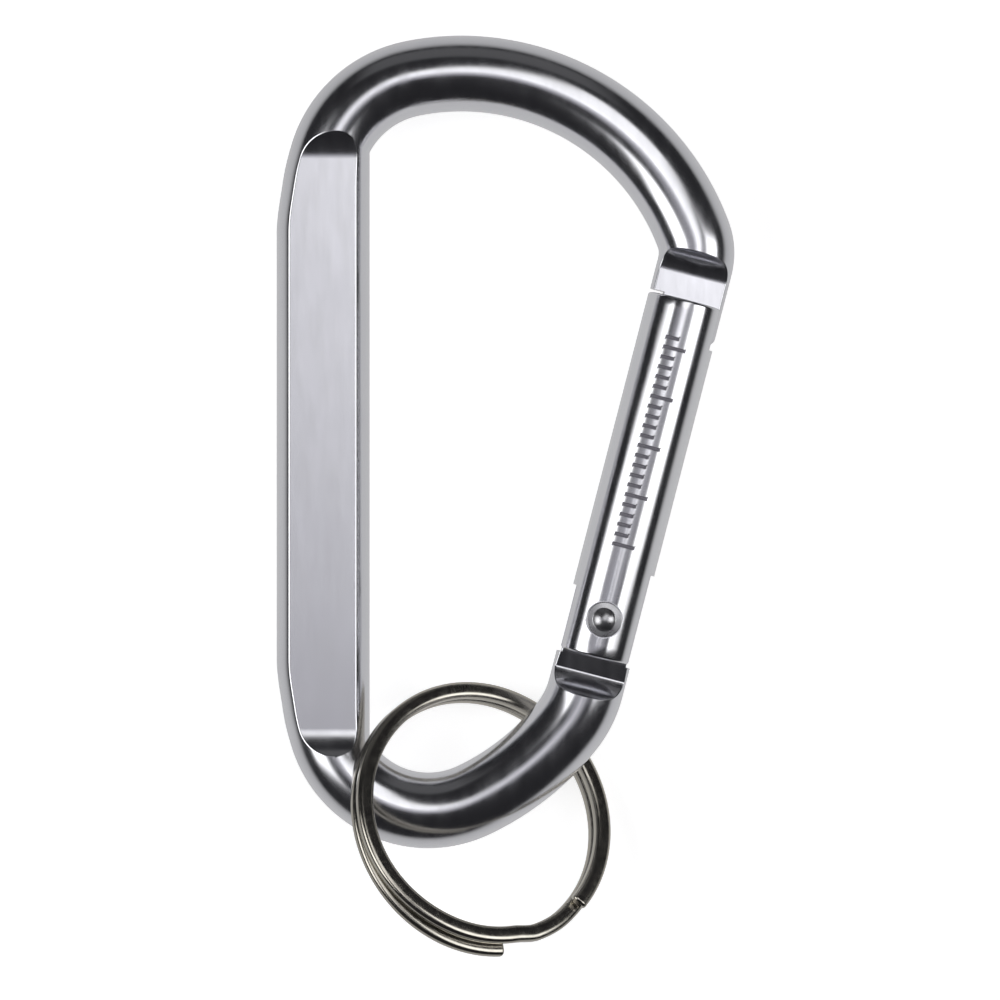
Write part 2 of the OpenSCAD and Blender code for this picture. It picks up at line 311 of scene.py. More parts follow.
def hinge_cut(p):
    """The hinge tongue sinks a little towards its root, then turns up sharply into a wider hollow."""
    s = (p - PIVOT) @ GATE_ALONG
    sunk = np.clip(-GATE_DOWN - s, 0, DISH_RUN)
    d = HINGE_FLAT_END - s
    reach = np.clip(d + DISH_ENTRY, 0, DISH_HOLLOW_R * HOLLOW_END)
    root = np.sqrt(DISH_HOLLOW_R**2 - reach**2)
    low = TONGUE_T / 2 - DISH_RUN * DISH_SLOPE
    hollow = low + math.sqrt(DISH_HOLLOW_R**2 - DISH_ENTRY**2) - root
    past = d > TINY
    inside = d + DISH_ENTRY < DISH_HOLLOW_R * HOLLOW_END
    height = np.where(past, np.where(inside, hollow, 2 * ROD_R), TONGUE_T / 2 - sunk * DISH_SLOPE)
    fall = np.where(sunk > TINY, -DISH_SLOPE, 0.0)
    slope = np.where(past, np.where(inside, reach / root, 0.0), fall)
    return height, slope[:, None] * GATE_ALONG


ARC_COLS = 18
EDGE_COLS = 4
FLAT_COLS = 20
CREASE_STEPS = 241
TOUCHING = 1e-4
EDGE_R = 0.12
TONGUE_EDGE_R = 0.15
RIDGE = 0.02
ROOT_EDGE = 0.1
BEND_EASE = 1.0
NEAR_CUT = 0.6  # A flat this close above the rod already draws the ridge towards its middle.
STEEPEST = 40.0  # Slopes are held to this where a rounded side turns square to the gate.
FINE_STEP, BEND_STEP, CORNER_STEP, PLAIN_STEP = 0.07, 0.12, 0.3, 0.4  # Along the centreline.
CORNER_SPREAD_TURN = 36  # Degrees of each corner bend that the spine's press can reach.
UNCLIPPED = (-99.0, 99.0)


class Row:
    """One section of the rod, square to its centreline."""

    def __init__(self, p, out, cut, spread=(0.0, 0.0), clip=None, clip_slope=(0.0, 0.0), edge=EDGE_R):
        self.p, self.out, self.cut, self.spread = p, out, cut, spread
        self.clip = clip or UNCLIPPED
        self.clip_slope = clip_slope
        self.along = np.array([-out[1], out[0]])
        self.edge = edge

    def rod_z(self, u):
        inner, outer = self.spread
        v = np.where(u > outer, u - outer, np.where(u < -inner, u + inner, 0.0))
        return np.sqrt(np.maximum(ROD_R * ROD_R - v * v, 0.0))

    def cut_z(self, u):
        u = np.atleast_1d(u)
        return self.cut(self.p + u[:, None] * self.out)[0]

    def creases(self):
        """Where on the section the flat meets the rod: lowest and highest distance out."""
        inner, outer = self.spread
        low = max(-ROD_R - inner, self.clip[0])
        high = min(ROD_R + outer, self.clip[1])
        u = np.linspace(low, high, CREASE_STEPS)
        gap = self.rod_z(u) - self.cut_z(u)
        top = int(np.argmax(gap))
        if gap[top] <= TOUCHING:
            centre = 0.5 * (outer - inner)
            nearness = ease(1 + gap[top] / NEAR_CUT)
            ridge = centre + nearness * (u[top] - centre)
            half = max(RIDGE, 0.5 * (inner + outer))
            low, high = (min(ridge, centre), max(ridge, centre)) if inner + outer > 0 else (ridge, ridge)
            return low - half, high + half
        a, b = top, top
        while a > 0 and gap[a - 1] > 0:
            a -= 1
        while b < len(u) - 1 and gap[b + 1] > 0:
            b += 1
        ua, ub = u[a], u[b]
        if a > 0:
            ua = u[a] - (u[a] - u[a - 1]) * gap[a] / (gap[a] - gap[a - 1])
        if b < len(u) - 1:
            ub = u[b] + (u[b + 1] - u[b]) * gap[b] / (gap[b] - gap[b + 1])
        return ua, max(ub, ua + 2 * RIDGE)

    def side(self, crease, sign, edge):
        """Points and normals from the equator up to the flat, on the outer side (sign 1) or inner (-1)."""
        shift = self.spread[1] if sign > 0 else self.spread[0]
        limit = self.clip[1] if sign > 0 else -self.clip[0]
        slope = self.clip_slope[1] if sign > 0 else self.clip_slope[0]
        z = float(min(self.rod_z(np.array([crease]))[0], self.cut_z(crease)[0]))
        end = math.asin(min(1.0, z / ROD_R))
        past_middle = sign * crease < 0 and limit > ROD_R and not any(self.spread)
        if past_middle:
            end = math.pi - end
        stop = max(end - edge / ROD_R, 0.3 * end)
        a = np.linspace(0, stop, ARC_COLS)
        u = shift + ROD_R * np.cos(a)
        walled = u > limit
        u = np.minimum(u, limit)
        wall = sign * self.out - slope * self.along
        wall = wall / np.linalg.norm(wall)
        pts = np.zeros((ARC_COLS, 3))
        pts[:, :2] = self.p + sign * u[:, None] * self.out
        pts[:, 2] = ROD_R * np.sin(a)
        nrm = np.zeros((ARC_COLS, 3))
        nrm[:, :2] = sign * np.cos(a)[:, None] * self.out
        nrm[:, 2] = np.sin(a)
        nrm[walled] = [wall[0], wall[1], 0.0]
        return pts, nrm

    def top(self, u):
        u = np.asarray(u, float)
        q = self.p + u[:, None] * self.out
        cut, tilt = self.cut(q)
        rod = self.rod_z(u)
        pts = np.column_stack([q, np.minimum(rod, cut)])
        inner, outer = self.spread
        v = np.where(u > outer, u - outer, np.where(u < -inner, u + inner, 0.0))
        round_n = np.column_stack([v[:, None] * self.out, rod])
        round_n /= np.linalg.norm(round_n, axis=1, keepdims=True)
        flat_n = np.column_stack([tilt, np.ones(len(u))])
        flat_n /= np.linalg.norm(flat_n, axis=1, keepdims=True)
        return pts, np.where((cut < rod)[:, None], flat_n, round_n)

    def points(self):
        ua, ub = self.creases()
        width = ub - ua
        edge = min(self.edge, 0.3 * width)
        outer_p, outer_n = self.side(ub, 1, edge)
        inner_p, inner_n = self.side(ua, -1, edge)
        flat_p, flat_n = self.top(np.linspace(ub - edge, ua + edge, FLAT_COLS))
        corner, _ = self.top(np.array([ub, ua]))
        t = np.linspace(0, 1, EDGE_COLS + 2)[1:-1, None]

        def blend(a, c, b, na, nb):
            p = (1 - t) ** 2 * a + 2 * t * (1 - t) * c + t * t * b
            n = (1 - t) * na + t * nb
            return p, n / np.linalg.norm(n, axis=1, keepdims=True)

        e1p, e1n = blend(outer_p[-1], corner[0], flat_p[0], outer_n[-1], flat_n[0])
        e2p, e2n = blend(flat_p[-1], corner[1], inner_p[-1], flat_n[-1], inner_n[-1])
        p = np.vstack([outer_p, e1p, flat_p, e2p, inner_p[::-1]])
        n = np.vstack([outer_n, e1n, flat_n, e2n, inner_n[::-1]])
        under = p[-2:0:-1] * [1, 1, -1]
        under_n = n[-2:0:-1] * [1, 1, -1]
        return np.vstack([p, under]), np.vstack([n, under_n])


def arc_rows(c, r, start, end, step, cut, spread=None):
    """Rows round a bend. step is in mm along the centreline."""
    count = max(2, int(abs(math.radians(end - start)) * r / step))
    rows = []
    for a in np.linspace(start, end, count, endpoint=False):
        out = polar(1.0, a)
        rows.append(Row(c + r * out, out, cut, spread(a) if spread else (0.0, 0.0)))
    return rows


def ease_bends(rows):
    """Averages the centreline over BEND_EASE either way, so that reflections don't kink where bends meet."""
    p = np.array([r.p for r in rows])
    out = np.array([r.out for r in rows])
    along = np.concatenate([[0], np.cumsum(np.linalg.norm(np.diff(p, axis=0), axis=1))])
    offsets = np.linspace(-1, 1, 21)
    weights = 1 + np.cos(math.pi * offsets)
    weights /= weights.sum()
    for k, row in enumerate(rows):
        reach = min(BEND_EASE, along[k], along[-1] - along[k])
        at = along[k] + reach * offsets
        row.p = np.array([weights @ np.interp(at, along, p[:, i]) for i in (0, 1)])
        mean = np.array([weights @ np.interp(at, along, out[:, i]) for i in (0, 1)])
        row.out = mean / np.linalg.norm(mean)
        row.along = np.array([-row.out[1], row.out[0]])


def corner_spread(c, r, start_angle, way):
    """Spread (inner, outer) of the pressed spine where it runs on into a corner bend."""

    def spread(a):
        turned = math.radians(way * (start_angle - a))
        past = r * turned
        reach_in = r - ROD_R - (r - ROD_R - PRESS_SPREAD) / math.cos(turned)
        outer = PRESS_SPREAD * (1 - ease((TAPER_BACK + past) / (TAPER_BACK + TAPER_AHEAD)))
        return max(reach_in, 0.0), outer

    return spread


def spine_spread(y):
    from_end = min(SPINE_TOP - y, y - SPINE_FOOT)
    outer = PRESS_SPREAD * (1 - ease((TAPER_BACK - from_end) / (TAPER_BACK + TAPER_AHEAD)))
    return PRESS_SPREAD, outer


def gate_row(s, cut, clip=None, clip_slope=(0.0, 0.0), edge=EDGE_R):
    row = Row(PIVOT + s * GATE_ALONG, GATE_OUT, cut, clip=clip, clip_slope=clip_slope, edge=edge)
    row.along = -GATE_ALONG
    return row


def nose_clip(s):
    """Sides of the nose tongue near its rounded tip, and how fast each closes in towards it."""
    d = max(NOSE_TIP_ROUND - (s - NOSE_TIP), 0.0)
    root = math.sqrt(max(NOSE_TIP_ROUND**2 - d * d, TINY))
    inset = NOSE_TIP_ROUND - root
    slope = min(d / root, STEEPEST)
    return (NOSE_INNER_X + inset, ROD_R - inset), slope


def lobe_edge(s, side):
    """How far the hinge tongue reaches to one side at height s, and how fast that falls going up."""
    if side < 0:
        if s <= 0:
            return LOBE_HALF, 0.0
        root = math.sqrt(max(LOBE_R**2 - s * s, TINY))
        return LOBE_OFF + root, s / root
    if s <= -HEEL_DROP:
        return LOBE_HALF, 0.0
    best, slope = UNCLIPPED[0], 0.0
    for cx, cy, r in ((LOBE_OFF, -HEEL_DROP, LOBE_R), (0.0, 0.0, MIDDLE_R), (-LOBE_OFF, 0.0, LOBE_R)):
        if abs(s - cy) < r:
            root = math.sqrt(max(r * r - (s - cy) ** 2, TINY))
            if cx + root > best:
                best, slope = cx + root, (s - cy) / root
    return best, max(slope, 0.0)


def strip_of(rows):
    made = [r.points() for r in rows]
    return np.array([m[0] for m in made]), np.array([m[1] for m in made])


def build_frame():
    skin = Skin()

    # Nose tongue: its tip, its trimmed length, and the shoulder above it.
    tip = []
    for s in NOSE_TIP + NOSE_TIP_ROUND * (1 - np.cos(np.linspace(0.06, math.pi / 2, 9))):
        clip, slope = nose_clip(s)
        tip.append(gate_row(s, nose_cut, clip, (slope, slope), TONGUE_EDGE_R))
    for s in np.linspace(NOSE_TIP + NOSE_TIP_ROUND, NOSE_SHOULDER, 6)[1:]:
        tip.append(gate_row(s, nose_cut, (NOSE_INNER_X, ROD_R), edge=TONGUE_EDGE_R))
    points, normals = strip_of(tip)
    skin.strip(points, normals)
    skin.cap(points[0], -GATE_UPWARD)
    low_row, _ = strip_of([gate_row(NOSE_SHOULDER, nose_cut, (NOSE_INNER_X, ROD_R), edge=TONGUE_EDGE_R)])
    top_row, _ = strip_of([gate_row(NOSE_SHOULDER, nose_cut, edge=TONGUE_EDGE_R)])
    wall = np.vstack([low_row, top_row])
    skin.strip(wall, np.tile(-GATE_UPWARD, (2, wall.shape[1], 1)))

    # Nose bend, crown and crown corner, going round from the nose.
    heights = np.linspace(NOSE_SHOULDER, NOSE_FLAT_END, 6, endpoint=False)
    rows = [gate_row(s, nose_cut, edge=TONGUE_EDGE_R) for s in heights]
    rows += [gate_row(s, nose_cut) for s in np.linspace(NOSE_FLAT_END, NOSE_S, 18, endpoint=False)]
    rows += arc_rows(NOSE_C, NOSE_BEND_R, -math.degrees(GATE_LEAN), CROWN_END, FINE_STEP, nose_cut)
    rows += arc_rows(CROWN_C, CROWN_R, CROWN_END, CROWN_CORNER_END, PLAIN_STEP, nose_cut)
    split = 180 - CORNER_SPREAD_TURN
    spread = corner_spread(CROWN_CORNER_C, CROWN_CORNER_R, 180, 1)
    rows += arc_rows(CROWN_CORNER_C, CROWN_CORNER_R, CROWN_CORNER_END, split, CORNER_STEP, spine_cut)
    rows += arc_rows(CROWN_CORNER_C, CROWN_CORNER_R, split, 180, FINE_STEP, spine_cut, spread)

    # Spine, going down.
    ys = np.concatenate(
        [
            np.linspace(SPINE_TOP, SPINE_TOP - TAPER_BACK, 18, endpoint=False),
            np.linspace(SPINE_TOP - TAPER_BACK, SPINE_FOOT + TAPER_BACK, 20, endpoint=False),
            np.linspace(SPINE_FOOT + TAPER_BACK, SPINE_FOOT, 18, endpoint=False),
        ]
    )
    rows += [Row(np.array([0.0, y]), np.array([-1.0, 0.0]), spine_cut, spine_spread(y)) for y in ys]

    # Foot corner, foot and the bend below the hinge.
    split = 180 + CORNER_SPREAD_TURN
    spread = corner_spread(FOOT_CORNER_C, FOOT_CORNER_R, 180, -1)
    rows += arc_rows(FOOT_CORNER_C, FOOT_CORNER_R, 180, split, FINE_STEP, spine_cut, spread)
    rows += arc_rows(FOOT_CORNER_C, FOOT_CORNER_R, split, FOOT_CORNER_END, CORNER_STEP, spine_cut)
    rows += arc_rows(FOOT_C, FOOT_R, FOOT_CORNER_END, FOOT_END, PLAIN_STEP, hinge_cut)
    rows += arc_rows(HINGE_C, HINGE_BEND_R, FOOT_END, 360 - math.degrees(GATE_LEAN), BEND_STEP, hinge_cut)
    rows += [gate_row(s, hinge_cut) for s in np.linspace(HINGE_S, HINGE_FLAT_END - ROOT_EDGE, 18)]
    rows += [gate_row(s, hinge_cut) for s in np.linspace(HINGE_FLAT_END + ROOT_EDGE, HINGE_SHOULDER, 6)]
    ease_bends(rows)
    points, normals = strip_of(rows)
    skin.strip(points, normals)

    # Shoulder below the hinge tongue, then the tongue's lobes up to its top.
    clip = (-LOBE_HALF, LOBE_HALF)
    wide, _ = strip_of([gate_row(HINGE_SHOULDER, hinge_cut, edge=TONGUE_EDGE_R)])
    slim, _ = strip_of([gate_row(HINGE_SHOULDER, hinge_cut, clip, edge=TONGUE_EDGE_R)])
    wall = np.vstack([wide, slim])
    skin.strip(wall, np.tile(GATE_UPWARD, (2, wall.shape[1], 1)))
    rows = []
    heights = np.concatenate(
        [
            np.linspace(HINGE_SHOULDER, -HEEL_DROP, 6, endpoint=False),
            np.linspace(-HEEL_DROP, 0, 8, endpoint=False),
            LOBE_R * np.sin(np.linspace(0, math.pi / 2 * 0.975, 26)),
        ]
    )
    for s in heights:
        left, left_slope = lobe_edge(s, -1)
        right, right_slope = lobe_edge(s, 1)
        slopes = (-min(left_slope, STEEPEST), -min(right_slope, STEEPEST))
        rows.append(gate_row(s, hinge_cut, (-left, right), slopes, TONGUE_EDGE_R))
    points, normals = strip_of(rows)
    skin.strip(points, normals)
    skin.cap(points[-1], GATE_UPWARD)
    return skin.build("frame_rod")


# ---------------------------------------------------------------- split ring


def wire_radius(a):
    tucking = ease((a - TUCK_FROM) / (TUCK_FULL - TUCK_FROM))
    easing = 1 - ease((a - TUCK_BACK) / (CROSS_A0 - TUCK_BACK))
    splaying = ease((a - SPLAY_FROM) / (RING_A1 - SPLAY_FROM))
    return (RING_D - WIRE_W) / 2 - TUCK * tucking * easing + SPLAY * splaying


def wire_level(a):
    """Height of the wire at angle a, in the ring's own frame: the upper turn crosses down to the lower."""
    return (WIRE_T + TURN_GAP) * (0.5 - ease((a - CROSS_A0) / (CROSS_A1 - CROSS_A0)))


def wire_outline():
    """Soft oblong section of the ring's wire, as [outwards, upwards] and its normals."""

    def bent(value, power):
        return np.sign(value) * np.abs(value) ** power

    a = np.linspace(0, 2 * math.pi, WIRE_COLS, endpoint=False)
    x, y = bent(np.cos(a), 2 / WIRE_POWER), bent(np.sin(a), 2 / WIRE_POWER)
    normal = np.stack([bent(x, WIRE_POWER - 1) / WIRE_W, bent(y, WIRE_POWER - 1) / WIRE_T], 1)
    normal /= np.linalg.norm(normal, axis=1, keepdims=True)
    return np.stack([x * WIRE_W / 2, y * WIRE_T / 2], 1), normal


def ring_place(p):
    """Turns points or directions from the ring's own frame to the drawing's, about the ring's middle."""
    y = p[..., 1] * math.cos(RING_TILT) - p[..., 2] * math.sin(RING_TILT)
    z = p[..., 1] * math.sin(RING_TILT) + p[..., 2] * math.cos(RING_TILT)
    x2 = p[..., 0] * math.cos(RING_TURN) - y * math.sin(RING_TURN)
    y2 = p[..., 0] * math.sin(RING_TURN) + y * math.cos(RING_TURN)
    return np.stack([x2, y2, z], -1)


def build_ring():
    skin = Skin()
    outline, outline_n = wire_outline()
    inset = WIRE_END_R / (WIRE_T / 2)
    rounding = math.degrees(WIRE_END_R / (RING_D / 2))

    def row(a, lean):
        """The section at angle a; lean says how far round the wire's rounded end it is, from -1 to 1."""
        scale = 1 - inset * (1 - math.sqrt(1 - lean * lean))
        c, s = math.cos(math.radians(a)), math.sin(math.radians(a))
        r = wire_radius(a) + scale * outline[:, 0]
        points = np.stack([r * c, r * s, wire_level(a) + scale * outline[:, 1]], -1)
        across = np.stack([outline_n[:, 0] * c, outline_n[:, 0] * s, outline_n[:, 1]], -1)
        normals = across * math.sqrt(1 - lean * lean) + lean * np.array([-s, c, 0.0])
        return ring_place(points) + RING_C, ring_place(normals)

    leans = np.sin(np.linspace(math.pi / 2 * 0.98, 0, 6, endpoint=False))
    stations = [(RING_A0 + rounding * (1 - lean), -lean) for lean in leans]
    stations += [(a, 0.0) for a in np.linspace(RING_A0 + rounding, RING_A1 - rounding, WIRE_ROWS)]
    stations += [(RING_A1 - rounding * (1 - lean), lean) for lean in leans[::-1]]
    made = [row(a, lean) for a, lean in stations]
    points, normals = np.array([m[0] for m in made]), np.array([m[1] for m in made])
    skin.strip(points, normals)
    for end, a, sign in ((points[0], RING_A0, -1), (points[-1], RING_A1, 1)):
        c, s = math.cos(math.radians(a)), math.sin(math.radians(a))
        skin.cap(end, ring_place(np.array([-s, c, 0.0]) * sign))
    return skin.build("split_ring_wire")


# ---------------------------------------------------------------- spring, rivet


def build_spring():
    coil_low = PLUNGER_SHOULDER + COIL_WIRE_R + COIL_END_GAP
    coil_high = BORE_TOP - COIL_WIRE_R - COIL_END_GAP
    opened = COIL_TURNS - 2 * COIL_CLOSED
    rise = coil_high - coil_low - 2 * COIL_CLOSED * CLOSED_PITCH
    skin = Skin()
    rows, normals = [], []
    for turn in np.linspace(0, COIL_TURNS, COIL_TURNS * COIL_STEPS + 1):
        low = min(turn, COIL_CLOSED)
        middle = min(opened, max(0, turn - COIL_CLOSED))
        high = max(0, turn - COIL_CLOSED - opened)
        s = coil_low + (low + high) * CLOSED_PITCH + middle * rise / opened
        a = 2 * math.pi * turn
        p, n = [], []
        for b in np.linspace(0, 2 * math.pi, COIL_SIDES, endpoint=False):
            r = COIL_R + COIL_WIRE_R * math.cos(b)
            p.append(gate_point(r * math.sin(a), s + COIL_WIRE_R * math.sin(b), r * math.cos(a)))
            flat = GATE_OUT * math.cos(b) * math.sin(a) + GATE_ALONG * math.sin(b)
            n.append([flat[0], flat[1], math.cos(b) * math.cos(a)])
        rows.append(p)
        normals.append(n)
    rows, normals = np.array(rows), np.array(normals)
    skin.strip(rows, normals)
    for end in (rows[0], rows[-1]):
        skin.cap(end, [GATE_OUT[0], GATE_OUT[1], 0])
    return skin.build("spring_coil")


def lathe(name, profile, segments, place):
    """Turns [radius, height] points round an axis; place() puts each point in the drawing frame."""
    mesh = bpy.data.meshes.new(name)
    bm = bmesh.new()
    rings = []
    for r, h in profile:
        if r < TINY:
            rings.append([bm.verts.new(to_row(place(0.0, 0.0, h)))])
            continue
        ring = []
        for k in range(segments):
            a = 2 * math.pi * k / segments
            ring.append(bm.verts.new(to_row(place(r * math.cos(a), r * math.sin(a), h))))
        rings.append(ring)
    for lower, upper in zip(rings[:-1], rings[1:]):
        for k in range(segments):
            m = (k + 1) % segments
            quad = [side[i % len(side)] for side, i in ((lower, k), (lower, m), (upper, m), (upper, k))]
            kept = [v for i, v in enumerate(quad) if v not in quad[:i]]
            if len(kept) > 2:
                bm.faces.new(kept)
    bmesh.ops.recalc_face_normals(bm, faces=bm.faces)
    for f in bm.faces:
        f.smooth = True
    bm.to_mesh(mesh)
    bm.free()
    obj = bpy.data.objects.new(name, mesh)
    bpy.context.scene.collection.objects.link(obj)
    return obj


def build_rivet():
    """A pin with a dome on a thin flange set over at each end."""
    dome_z = SEAT_Z + HEAD_RISE - DOME_R
    half = [(r, dome_z + math.sqrt(DOME_R**2 - r * r)) for r in np.linspace(0, DOME_EDGE, 16)]

    # From the dome's edge round a small fillet to the flange, then out along it and over its rim.
    edge_r, edge_z = half[-1]
    foot_r, foot_z = DOME_EDGE + DOME_FILLET, SEAT_Z + FLANGE_T - 0.01
    bend_r, bend_z = DOME_EDGE + 0.4 * DOME_FILLET, SEAT_Z + FLANGE_T
    for t in np.linspace(0, 1, 7)[1:]:
        near, middle, far = (1 - t) ** 2, 2 * t * (1 - t), t * t
        r = near * edge_r + middle * bend_r + far * foot_r
        half.append((r, near * edge_z + middle * bend_z + far * foot_z))
    for r in np.linspace(foot_r, HEAD_R - RIM_R, 6)[1:]:
        half.append((r, foot_z - FLANGE_FALL * (r - foot_r)))
    rim_z = half[-1][1]
    for a in np.linspace(0, math.pi / 2, 7)[1:]:
        half.append((HEAD_R - RIM_R + RIM_R * math.sin(a), rim_z - 0.8 * RIM_R * (1 - math.cos(a))))
    half += [(HEAD_R, SEAT_Z), (PIN_R, SEAT_Z)]
    profile = half + [(r, -z) for r, z in half[::-1]]
    return lathe("rivet_pin", profile, 64, gate_point)


# ---------------------------------------------------------------- gate


def mark_depth(x, s):
    """How deep the scale marks, 1 mm apart, are cut at x out from the gate's axis and s up along it."""
    k = round(s - MARK_FROM)
    if not 0 <= k < MARK_COUNT:
        return 0.0
    length = MARK_LONG if k % LONG_EVERY == 0 else MARK_SHORT
    middle = (length - MARK_LONG) / 2
    across = 1 - ease((abs(x - middle) - length / 2 + MARK_WALL) / (2 * MARK_WALL))
    along = 1 - ease((abs(s - MARK_FROM - k) - MARK_W / 2 + MARK_WALL) / (2 * MARK_WALL))
    return MARK_DEPTH * across * along


def box_cutter(name, x0, x1, s0, s1, z0, z1):
    corners = [gate_point(x, s, z) for x in (x0, x1) for s in (s0, s1) for z in (z0, z1)]
    mesh = bpy.data.meshes.new(name)
    faces = [(0, 1, 3, 2), (4, 6, 7, 5), (0, 4, 5, 1), (2, 3, 7, 6), (0, 2, 6, 4), (1, 5, 7, 3)]
    mesh.from_pydata(to_row(corners).tolist(), [], faces)
    obj = bpy.data.objects.new(name, mesh)
    bpy.context.scene.collection.objects.link(obj)
    return obj


def cut_away(obj, cutter):
    """Takes cutter out of obj for good, and removes it."""
    mod = obj.modifiers.new("cut", "BOOLEAN")
    mod.operation = "DIFFERENCE"
    mod.solver = "EXACT"
    mod.object = cutter
    apply_modifiers(obj)
    bpy.data.objects.remove(cutter)


def apply_modifiers(obj):
    bpy.context.view_layer.update()
    depsgraph = bpy.context.evaluated_depsgraph_get()
    mesh = bpy.data.meshes.new_from_object(obj.evaluated_get(depsgraph))
    obj.modifiers.clear()
    obj.data = mesh


def gate_heights():
    """Heights of the gate's rows: close together on the rounded ends and on the walls of every mark."""
    ends = np.linspace(0, math.pi / 2, 6)
    walls = [MARK_W / 2 + d for d in (-MARK_WALL, -MARK_WALL / 3, MARK_WALL / 3, MARK_WALL)]
    steps = np.array([-0.3, *[-w for w in walls[::-1]], 0.0, *walls, 0.3, 0.5])
    heights = list(-GATE_DOWN + GATE_BEVEL * (1 - np.cos(ends)))
    heights += list(np.linspace(-GATE_DOWN + GATE_BEVEL, MARK_FROM - 0.5, 12)[1:])
    for k in range(MARK_COUNT):
        heights += list(MARK_FROM + k + steps)
    heights += list(np.linspace(MARK_FROM + MARK_COUNT - 0.5, GATE_UP - GATE_BEVEL, 6)[1:])
    heights += list(GATE_UP - GATE_BEVEL * (1 - np.cos(ends[::-1])))[1:]
    return heights


def gate_blank():
    """The gate with its scale marks, before its slots, bore and seats are cut."""
    marked = np.linspace(-MARKED_TURN, MARKED_TURN, 61)
    plain = np.linspace(MARKED_TURN, 360 - MARKED_TURN, 105)[1:-1]
    angles = np.radians(np.concatenate([marked, plain]))
    bm = bmesh.new()
    rows = []
    for s in gate_heights():
        to_end = min(s + GATE_DOWN, GATE_UP - s)
        d = GATE_BEVEL - min(to_end, GATE_BEVEL)
        radius = GATE_R - GATE_BEVEL + math.sqrt(max(GATE_BEVEL**2 - d * d, 0))
        row = []
        for a in angles:
            front = math.cos(a) > math.cos(math.radians(MARKED_TURN + 1))
            r = radius - (mark_depth(radius * math.sin(a), s) if front else 0.0)
            row.append(bm.verts.new(to_row(gate_point(r * math.sin(a), s, r * math.cos(a)))))
        rows.append(row)
    n = len(angles)
    for lower, upper in zip(rows[:-1], rows[1:]):
        for k in range(n):
            m = (k + 1) % n
            bm.faces.new([lower[k], lower[m], upper[m], upper[k]])
    bm.faces.new(rows[0])
    bm.faces.new(rows[-1])
    bmesh.ops.recalc_face_normals(bm, faces=bm.faces)
    mesh = bpy.data.meshes.new("gate_sleeve")
    bm.to_mesh(mesh)
    bm.free()
    obj = bpy.data.objects.new("gate_sleeve", mesh)
    bpy.context.scene.collection.objects.link(obj)
    return obj


def note_etching(gate):
    """Sets the attribute "etched" on the points at the bottom of the marks, for the gate's material."""
    etched = gate.data.attributes.new("etched", "FLOAT", "POINT")
    for v in gate.data.vertices:
        p = np.array(v.co) / MM - ORIGIN
        x, s = (p[:2] - PIVOT) @ GATE_OUT, (p[:2] - PIVOT) @ GATE_ALONG
        shallow = mark_depth(x, s) < MARK_DEPTH / 3
        etched.data[v.index].value = 0.0 if shallow or p[2] < 0 else 1.0


def build_gate():
    gate = gate_blank()
    far = 2 * GATE_R
    half = SLOT_T / 2
    cut_away(gate, box_cutter("hinge_slot_out", WALL_X, far, -far, HINGE_SLOT_OUT, -half, half))
    cut_away(gate, box_cutter("hinge_slot_in", -far, WALL_X + 0.01, -far, HINGE_SLOT_IN, -half, half))
    cut_away(gate, box_cutter("nose_slot", WALL_X, far, NOSE_SLOT_FLOOR, GATE_UP + far, -half, half))
    bore_profile = [(0, -GATE_DOWN - 1), (BORE_R, -GATE_DOWN - 1), (BORE_R, BORE_TOP), (0, BORE_TOP)]
    cut_away(gate, lathe("bore", bore_profile, 96, lambda x, y, h: gate_point(x, h, y)))
    for side in (1, -1):
        low, high = side * SEAT_Z, side * far
        cut_away(gate, lathe("seat", [(0, low), (SEAT_R, low), (SEAT_R, high), (0, high)], 96, gate_point))
    soften(gate, 0.06, 40)
    note_etching(gate)
    return gate


def soften(obj, width_mm, degrees):
    """Rounds the sharp edges of obj and shades the rest smooth."""
    bevel = obj.modifiers.new("bevel", "BEVEL")
    bevel.width = width_mm * MM
    bevel.segments = 2
    bevel.limit_method = "ANGLE"
    bevel.angle_limit = math.radians(degrees)
    bevel.use_clamp_overlap = True
    bevel.harden_normals = True
    obj.data.polygons.foreach_set("use_smooth", [True] * len(obj.data.polygons))
    apply_modifiers(obj)


# ---------------------------------------------------------------- materials


CLOUD_SCALE = 180.0
RELIEF_DEPTH = 0.0001
ETCHED_COLOR = (0.33, 0.32, 0.36)
ETCHED_ROUGHER = 0.45


def new_material(name):
    mat = bpy.data.materials.new(name)
    mat.use_nodes = True
    tree = mat.node_tree
    return mat, tree, tree.nodes["Principled BSDF"]


